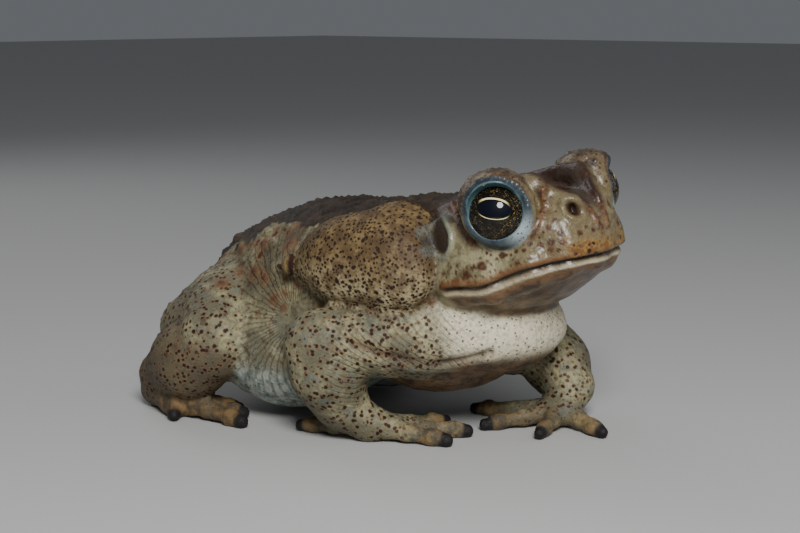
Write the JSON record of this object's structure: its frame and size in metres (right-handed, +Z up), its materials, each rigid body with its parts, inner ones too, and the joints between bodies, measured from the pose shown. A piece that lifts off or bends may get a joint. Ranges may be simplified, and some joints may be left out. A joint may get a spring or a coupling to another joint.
{
  "type": "cane toad",
  "caption": "Still, life-size cane toad sitting on all fours with its head raised: warty back, swollen parotoid glands, bulging eyes under bumpy brows and spread toes.",
  "frame": {"origin": "bottom centre of the whole toad's bounding box, on the surface it sits on", "axes": "+Y from snout to rump, along the body; +X towards the toad's left side; +Z up"},
  "size_m": [0.1048, 0.135, 0.0756],
  "materials": {
    "torso": "satin skin",
    "throat": "satin skin",
    "head": "satin skin",
    "lower_jaw": "satin skin",
    "parotoid_left": "satin skin",
    "parotoid_right": "satin skin",
    "eye_left": "wet gloss",
    "eye_right": "wet gloss",
    "upper_eyelid_left": "satin skin",
    "upper_eyelid_right": "satin skin",
    "lower_eyelid_left": "satin skin",
    "lower_eyelid_right": "satin skin",
    "tympanum_left": "satin skin",
    "tympanum_right": "satin skin",
    "upper_arm_left": "satin skin",
    "upper_arm_right": "satin skin",
    "forearm_left": "satin skin",
    "forearm_right": "satin skin",
    "hand_left": "satin skin",
    "hand_right": "satin skin",
    "thigh_left": "satin skin",
    "thigh_right": "satin skin",
    "shank_left": "satin skin",
    "shank_right": "satin skin",
    "foot_left": "satin skin",
    "foot_right": "satin skin"
  },
  "bodies": {
    "root": {"torso": "torso", "throat": "throat", "head": "head", "lower_jaw": "lower_jaw", "parotoid_left": "parotoid_left", "parotoid_right": "parotoid_right", "eye_left": "eye_left", "eye_right": "eye_right", "upper_eyelid_left": "upper_eyelid_left", "upper_eyelid_right": "upper_eyelid_right", "lower_eyelid_left": "lower_eyelid_left", "lower_eyelid_right": "lower_eyelid_right", "tympanum_left": "tympanum_left", "tympanum_right": "tympanum_right", "upper_arm_left": "upper_arm_left", "upper_arm_right": "upper_arm_right", "forearm_left": "forearm_left", "forearm_right": "forearm_right", "hand_left": "hand_left", "hand_right": "hand_right", "thigh_left": "thigh_left", "thigh_right": "thigh_right", "shank_left": "shank_left", "shank_right": "shank_right", "foot_left": "foot_left", "foot_right": "foot_right"}
  },
  "joints": []
}
